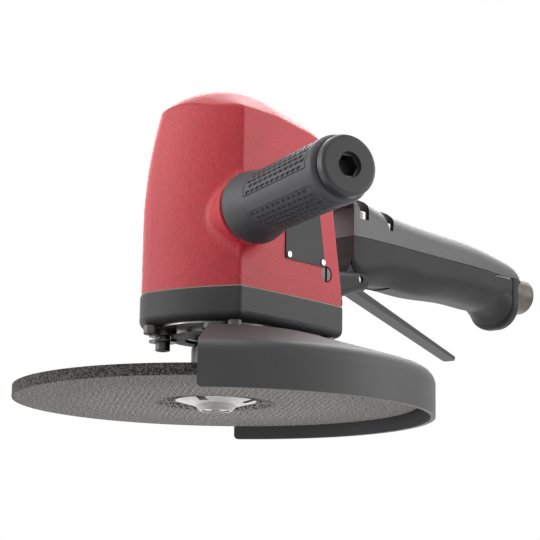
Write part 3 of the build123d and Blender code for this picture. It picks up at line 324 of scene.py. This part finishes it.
# Side grip in millimetres: where it starts, how it points, and its profile as radius and place along it
GRIP_START = (28.8, 50.4, 100.6)
GRIP_TURN = radians(72.1)
GRIP_RISE = radians(2.55)
GRIP_BORE = 9.05
GRIP_ENDS = (0.3, 92.0)
COLLAR = ((17.5, 0.3), (18.9, 0.75), (19.9, 1.9), (20.4, 3.4), (20.5, 5.0))
NECK = ((20.0, 8.0), (19.4, 11.5), (18.75, 15.0), (18.2, 18.5), (17.9, 21.0))
BARREL = ((17.85, 21.5), (17.6, 26.0), (17.95, 56.0), (18.4, 88.0))
LIP = ((18.3, 89.6), (17.8, 90.8), (16.9, 91.6), (15.6, 92.0))
GRIP_SHARP = 32.0

# Moulded pattern in millimetres and degrees: two panels of staggered dashes with a smooth band between them
BAND_TURN = 17.4
BAND_HALF = 15
ROW_STEP = 10
DASH_FROM = 23.8
DASH_PITCH = 5.3
DASH_COUNT = 11
DASH_LENGTH = 4.2
DASH_SLOPE = 0.35
DASH_DEPTH = 0.8
DASH_EDGES = (-2.8, -1.7, 1.7, 2.8)
PANEL = (21.5, 85.0)
FRAME_HALF = 0.4
FRAME_TURN = 1.2
FRAME_DEPTH = 0.45
NEAR = 0.01


def barrel_radius(along):
    for (first_r, first_s), (last_r, last_s) in zip(BARREL, BARREL[1:]):
        if along <= last_s:
            return first_r + (last_r - first_r) * (along - first_s) / (last_s - first_s)
    return BARREL[-1][0]


def frame_angles():
    return (BAND_HALF, 180 - BAND_HALF, 180 + BAND_HALF, 360 - BAND_HALF)


def grip_columns():
    """Angles of the mesh's columns in degrees from the middle of a smooth band."""
    angles = set()
    for row in range(0, 360, ROW_STEP):
        angles.update(round((row + edge) % 360, 3) for edge in DASH_EDGES)
        angles.add(round((row + ROW_STEP / 2) % 360, 3))
    for edge in frame_angles():
        angles.update(round((edge + side * FRAME_TURN) % 360, 3) for side in (-1, 1))
    return sorted(angles)


def in_panel(angle):
    return BAND_HALF <= angle % 180 <= 180 - BAND_HALF


def dash_starts(row):
    first = DASH_FROM + (DASH_PITCH / 2 if row % 2 else 0.0)
    return [first + DASH_PITCH * k for k in range(DASH_COUNT)]


def grip_levels():
    """Places along the barrel where the mesh needs a ring."""
    levels = {BARREL[-1][1]}
    for end in PANEL:
        levels.update((end - FRAME_HALF, end, end + FRAME_HALF))
    for row in (0, 1):
        for start in dash_starts(row):
            levels.update((start, start + DASH_SLOPE, start + DASH_LENGTH - DASH_SLOPE, start + DASH_LENGTH))
    return sorted(round(level, 3) for level in levels)


def sunk(along, angle):
    """How deep the moulded pattern is at one point of the barrel."""
    inside = PANEL[0] <= along <= PANEL[1]
    if inside and any(abs(angle - edge) < NEAR for edge in frame_angles()):
        return FRAME_DEPTH
    if not in_panel(angle):
        return 0.0
    if any(abs(along - end) < NEAR for end in PANEL):
        return FRAME_DEPTH
    row = round(angle / ROW_STEP)
    if abs(angle - row * ROW_STEP) > DASH_EDGES[2] + NEAR or not in_panel(row * ROW_STEP):
        return 0.0
    for start in dash_starts(row):
        if start + DASH_SLOPE - NEAR <= along <= start + DASH_LENGTH - DASH_SLOPE + NEAR:
            return DASH_DEPTH
    return 0.0


def side_grip():
    """Rubber grip with its moulded pattern cut into the mesh."""
    axis = Vector((cos(GRIP_TURN) * cos(GRIP_RISE), sin(GRIP_TURN) * cos(GRIP_RISE), sin(GRIP_RISE)))
    across = Vector((sin(GRIP_TURN), -cos(GRIP_TURN), 0.0))
    down = axis.cross(across)
    columns = grip_columns()
    rings = [((GRIP_BORE, GRIP_ENDS[0]), False)]
    rings += [(point, False) for point in COLLAR + NECK]
    rings += [((barrel_radius(level), level), True) for level in grip_levels()]
    rings += [(point, False) for point in LIP]
    rings.append(((GRIP_BORE, GRIP_ENDS[1]), False))
    points = []
    for (radius, along), patterned in rings:
        for angle in columns:
            depth = sunk(along, angle) if patterned else 0.0
            turn = radians(angle + BAND_TURN)
            out = cos(turn) * across + sin(turn) * down
            points.append((Vector(GRIP_START) + along * axis + (radius - depth) * out) * MM)
    count = len(columns)
    faces = []
    for ring in range(len(rings)):
        after = (ring + 1) % len(rings)
        for k in range(count):
            beside = (k + 1) % count
            faces.append((ring * count + k, ring * count + beside, after * count + beside, after * count + k))
    grip = new_piece("side_grip_moulded", points, faces, GRIP_SHARP, "grip_rubber")
    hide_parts("side_grip")
    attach(grip, "tool_body")


side_grip()

# Coil springs: sides of the wire, steps in one turn, and the angle from which an edge is sharp
WIRE_SIDES = 10
TURN_STEPS = 36
COIL_SHARP = 50.0


def coil_spring(node, wire, turns):
    """Coil of wire in its CAD node's place, with the given wire radius and number of turns."""
    low, high = (Vector(corner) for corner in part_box(node))
    radius = (high.x - low.x) / 2 - wire
    foot = Vector(((low.x + high.x) / 2, (low.y + high.y) / 2, low.z + wire))
    rise = high.z - low.z - 2 * wire
    steps = turns * TURN_STEPS
    points = []
    for step in range(steps + 1):
        turn = 2 * pi * step / TURN_STEPS
        out = Vector((cos(turn), sin(turn), 0.0))
        along = Vector((-sin(turn), cos(turn), rise / (2 * pi * radius * turns))).normalized()
        over = out.cross(along)
        middle = foot + radius * out + Vector((0.0, 0.0, rise * step / steps))
        for side in range(WIRE_SIDES):
            around = 2 * pi * side / WIRE_SIDES
            points.append(middle + wire * (cos(around) * out + sin(around) * over))
    last = steps * WIRE_SIDES
    faces = [tuple(range(WIRE_SIDES)), tuple(reversed(range(last, last + WIRE_SIDES)))]
    for first in range(0, last, WIRE_SIDES):
        for side in range(WIRE_SIDES):
            beside = (side + 1) % WIRE_SIDES
            after = first + WIRE_SIDES
            faces.append((first + side, after + side, after + beside, first + beside))
    coil = new_piece(node + "_coil", points, faces, COIL_SHARP, "inner_steel")
    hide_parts(node)
    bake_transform(coil)


coil_spring("valve_spring", 0.0004, 3)
coil_spring("governor_spring", 0.0006, 4)


def set_camera():
    right = Vector((-cos(YAW), sin(YAW), 0.0))
    forward = Vector((-sin(YAW) * cos(PITCH), -cos(YAW) * cos(PITCH), sin(PITCH)))
    up = Vector((sin(YAW) * sin(PITCH), cos(YAW) * sin(PITCH), cos(PITCH)))
    rolled_right = cos(ROLL) * right + sin(ROLL) * up
    rolled_up = cos(ROLL) * up - sin(ROLL) * right
    data = bpy.data.cameras.new("camera")
    data.lens = LENS
    data.sensor_width = SENSOR
    camera = bpy.data.objects.new("camera", data)
    turn = Matrix((rolled_right, rolled_up, -forward)).transposed()
    camera.matrix_world = Matrix.Translation(EYE) @ turn.to_4x4()
    bpy.context.scene.collection.objects.link(camera)
    bpy.context.scene.camera = camera


def lamp(name, place, size, power):
    data = bpy.data.lights.new(name, "AREA")
    data.shape = "DISK"
    data.size = size
    data.energy = power
    light = bpy.data.objects.new(name, data)
    aim = Vector(AIM) - Vector(place)
    light.matrix_world = Matrix.Translation(place) @ aim.to_track_quat("-Z", "Y").to_matrix().to_4x4()
    light.visible_camera = False
    bpy.context.scene.collection.objects.link(light)


def floor_paint():
    """Pale matt floor. The camera sees it part lit and part glowing, so it stays pale far from the lamps."""
    material, tree, bsdf, place = new_material("floor_paint", 0.8)
    tone = noise(tree, place, PAINT_TONE)
    seen = add_node(tree, "ShaderNodeLightPath").outputs["Is Camera Ray"]
    lighting = ramp(tree, tone, srgb(232, 232, 232), srgb(238, 238, 238))
    looks = ramp(tree, tone, srgb(184, 184, 184), srgb(190, 190, 190))
    tree.links.new(blend_colour(tree, seen, lighting, looks), bsdf.inputs["Base Color"])
    bsdf.inputs["Emission Color"].default_value = WHITE
    tree.links.new(between(tree, seen, 0.0, FLOOR_GLOW), bsdf.inputs["Emission Strength"])
    return material


def set_stage():
    world = bpy.data.worlds.new("studio")
    bpy.context.scene.world = world
    world.use_nodes = True
    tree = world.node_tree
    tree.nodes.clear()
    path = add_node(tree, "ShaderNodeLightPath")
    seen = path.outputs["Is Camera Ray"]
    for ray in ("Is Glossy Ray", "Is Transmission Ray"):
        either = {0: seen, 1: path.outputs[ray]}
        seen = add_node(tree, "ShaderNodeMath", either, operation="MAXIMUM").outputs[0]
    strength = between(tree, seen, AMBIENT, 1.0)
    sky = add_node(tree, "ShaderNodeBackground", {"Color": WHITE, "Strength": strength})
    add_node(tree, "ShaderNodeOutputWorld", {"Surface": sky.outputs[0]})

    corners = [(x * FLOOR_HALF, y * FLOOR_HALF, FLOOR_Z) for x, y in ((-1, -1), (1, -1), (1, 1), (-1, 1))]
    mesh = bpy.data.meshes.new("floor")
    mesh.from_pydata(corners, [], [(0, 1, 2, 3)])
    mesh.materials.append(floor_paint())
    floor = bpy.data.objects.new("floor", mesh)
    bpy.context.scene.collection.objects.link(floor)


set_camera()
set_stage()
for name, place, size, power in LAMPS:
    lamp(name, place, size, power)
bpy.context.scene.view_settings.view_transform = "Standard"
